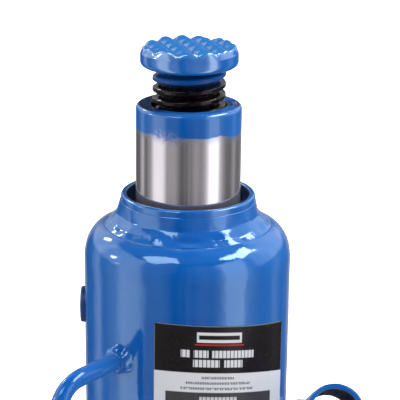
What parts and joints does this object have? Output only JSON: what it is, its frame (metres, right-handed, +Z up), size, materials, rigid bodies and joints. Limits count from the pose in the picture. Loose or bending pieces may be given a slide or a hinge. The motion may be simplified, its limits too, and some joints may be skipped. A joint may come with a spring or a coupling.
{
  "type": "hydraulic bottle jack",
  "caption": "Hydraulic bottle jack with a lifting ram, an extension screw with a toothed saddle, a side pump with a handle socket, a release valve and a welded carry handle.",
  "frame": {"origin": "on the ram axis, at the underside of the base", "axes": "+Z up along the ram, -Y towards the operator's side that the handle socket and the release valve face, +X towards the pump"},
  "size_m": [0.157, 0.1474, 0.2725],
  "materials": {
    "blue_paint": "gloss",
    "cast_blue": "satin paint over a cast surface",
    "ground_steel": "ground and polished",
    "bright_steel": "turned",
    "dark_steel": "oiled black oxide",
    "black_rubber": "matte",
    "plug_rubber": "painted rubber",
    "copper": "soft annealed",
    "brass": "turned",
    "label_film": "printed film"
  },
  "bodies": {
    "housing": {"base": "cast_blue", "tank_gasket": "black_rubber", "reservoir_tank": "blue_paint", "rating_label": "label_film", "carry_handle": "blue_paint", "handle_welds": "blue_paint", "cylinder_gasket": "copper", "pressure_cylinder": "blue_paint", "neck_weld": "blue_paint", "gland_nut": "dark_steel", "wiper_seal": "black_rubber", "gland_oring": "black_rubber", "pump_gasket": "copper", "pump_cylinder": "blue_paint", "pump_wiper": "black_rubber", "link_pin": "bright_steel", "link_pin_clip": "dark_steel", "suction_filter": "brass", "channel_plug": "brass"},
    "filler": {"filler_plug": "plug_rubber"},
    "ram": {"ram": "ground_steel", "piston_cup": "black_rubber", "piston_washer": "bright_steel", "piston_snap_ring": "dark_steel"},
    "saddle": {"saddle": "cast_blue", "saddle_clip": "bright_steel"},
    "screw": {"extension_screw": "dark_steel", "screw_stop_ring": "bright_steel"},
    "plunger": {"pump_plunger": "ground_steel", "plunger_cup": "black_rubber", "plunger_pin": "bright_steel", "plunger_pin_clip": "dark_steel"},
    "link": {"link_plates": "blue_paint", "fulcrum_pin": "bright_steel", "fulcrum_pin_clip": "dark_steel"},
    "socket": {"handle_socket": "blue_paint"},
    "release_ball": {"release_ball": "bright_steel"},
    "release_spindle": {"release_spindle": "bright_steel", "release_oring": "black_rubber"},
    "suction_ball": {"suction_ball": "bright_steel"}
  },
  "joints": [
    {"name": "ram_lift", "type": "slide", "parent": "housing", "child": "ram", "axis": [0, 0, 1], "range_m": [-0.0332, 0.1168]},
    {"name": "screw_travel", "type": "slide", "parent": "ram", "child": "saddle", "axis": [0, 0, 1], "range_m": [-0.0107, 0.0693]},
    {"name": "screw_turn", "type": "hinge", "parent": "saddle", "child": "screw", "pos_m": [0, 0, 0.2621], "axis": [0, 0, 1], "range_deg": [-770, 4989]},
    {"name": "filler_pull", "type": "slide", "parent": "housing", "child": "filler", "axis": [-1, 0, 0], "range_m": [0, 0.022]},
    {"name": "plunger_stroke", "type": "slide", "parent": "housing", "child": "plunger", "axis": [0, 0, 1], "range_m": [-0.01037, 0.00239]},
    {"name": "link_swing", "type": "hinge", "parent": "housing", "child": "link", "pos_m": [0.066, 0.019, 0.0415], "axis": [-1, 0, 0], "range_deg": [-0.91, 3.98]},
    {"name": "handle_pump", "type": "hinge", "parent": "link", "child": "socket", "pos_m": [0.066, 0.01774, 0.08087], "axis": [-1, 0, 0], "range_deg": [-35, 8]},
    {"name": "release_lift", "type": "slide", "parent": "housing", "child": "release_ball", "axis": [0, -1, 0], "range_m": [0, 0.00225]},
    {"name": "release_turn", "type": "hinge", "parent": "release_ball", "child": "release_spindle", "pos_m": [0.02, -0.06, 0.0115], "axis": [0, -1, 0], "range_deg": [0, 540]},
    {"name": "suction_lift", "type": "slide", "parent": "housing", "child": "suction_ball", "axis": [0, 0, 1], "range_m": [0, 0.0012]}
  ],
  "couplings": [
    {"joint": "screw_travel", "follows": "screw_turn", "m_per_rad": 0.00079577},
    {"joint": "link_swing", "follows": "handle_pump", "ratio": -0.1127},
    {"joint": "plunger_stroke", "follows": "handle_pump", "m_per_rad": 0.016942},
    {"joint": "release_turn", "follows": "release_lift", "rad_per_m": 4188.8}
  ]
}
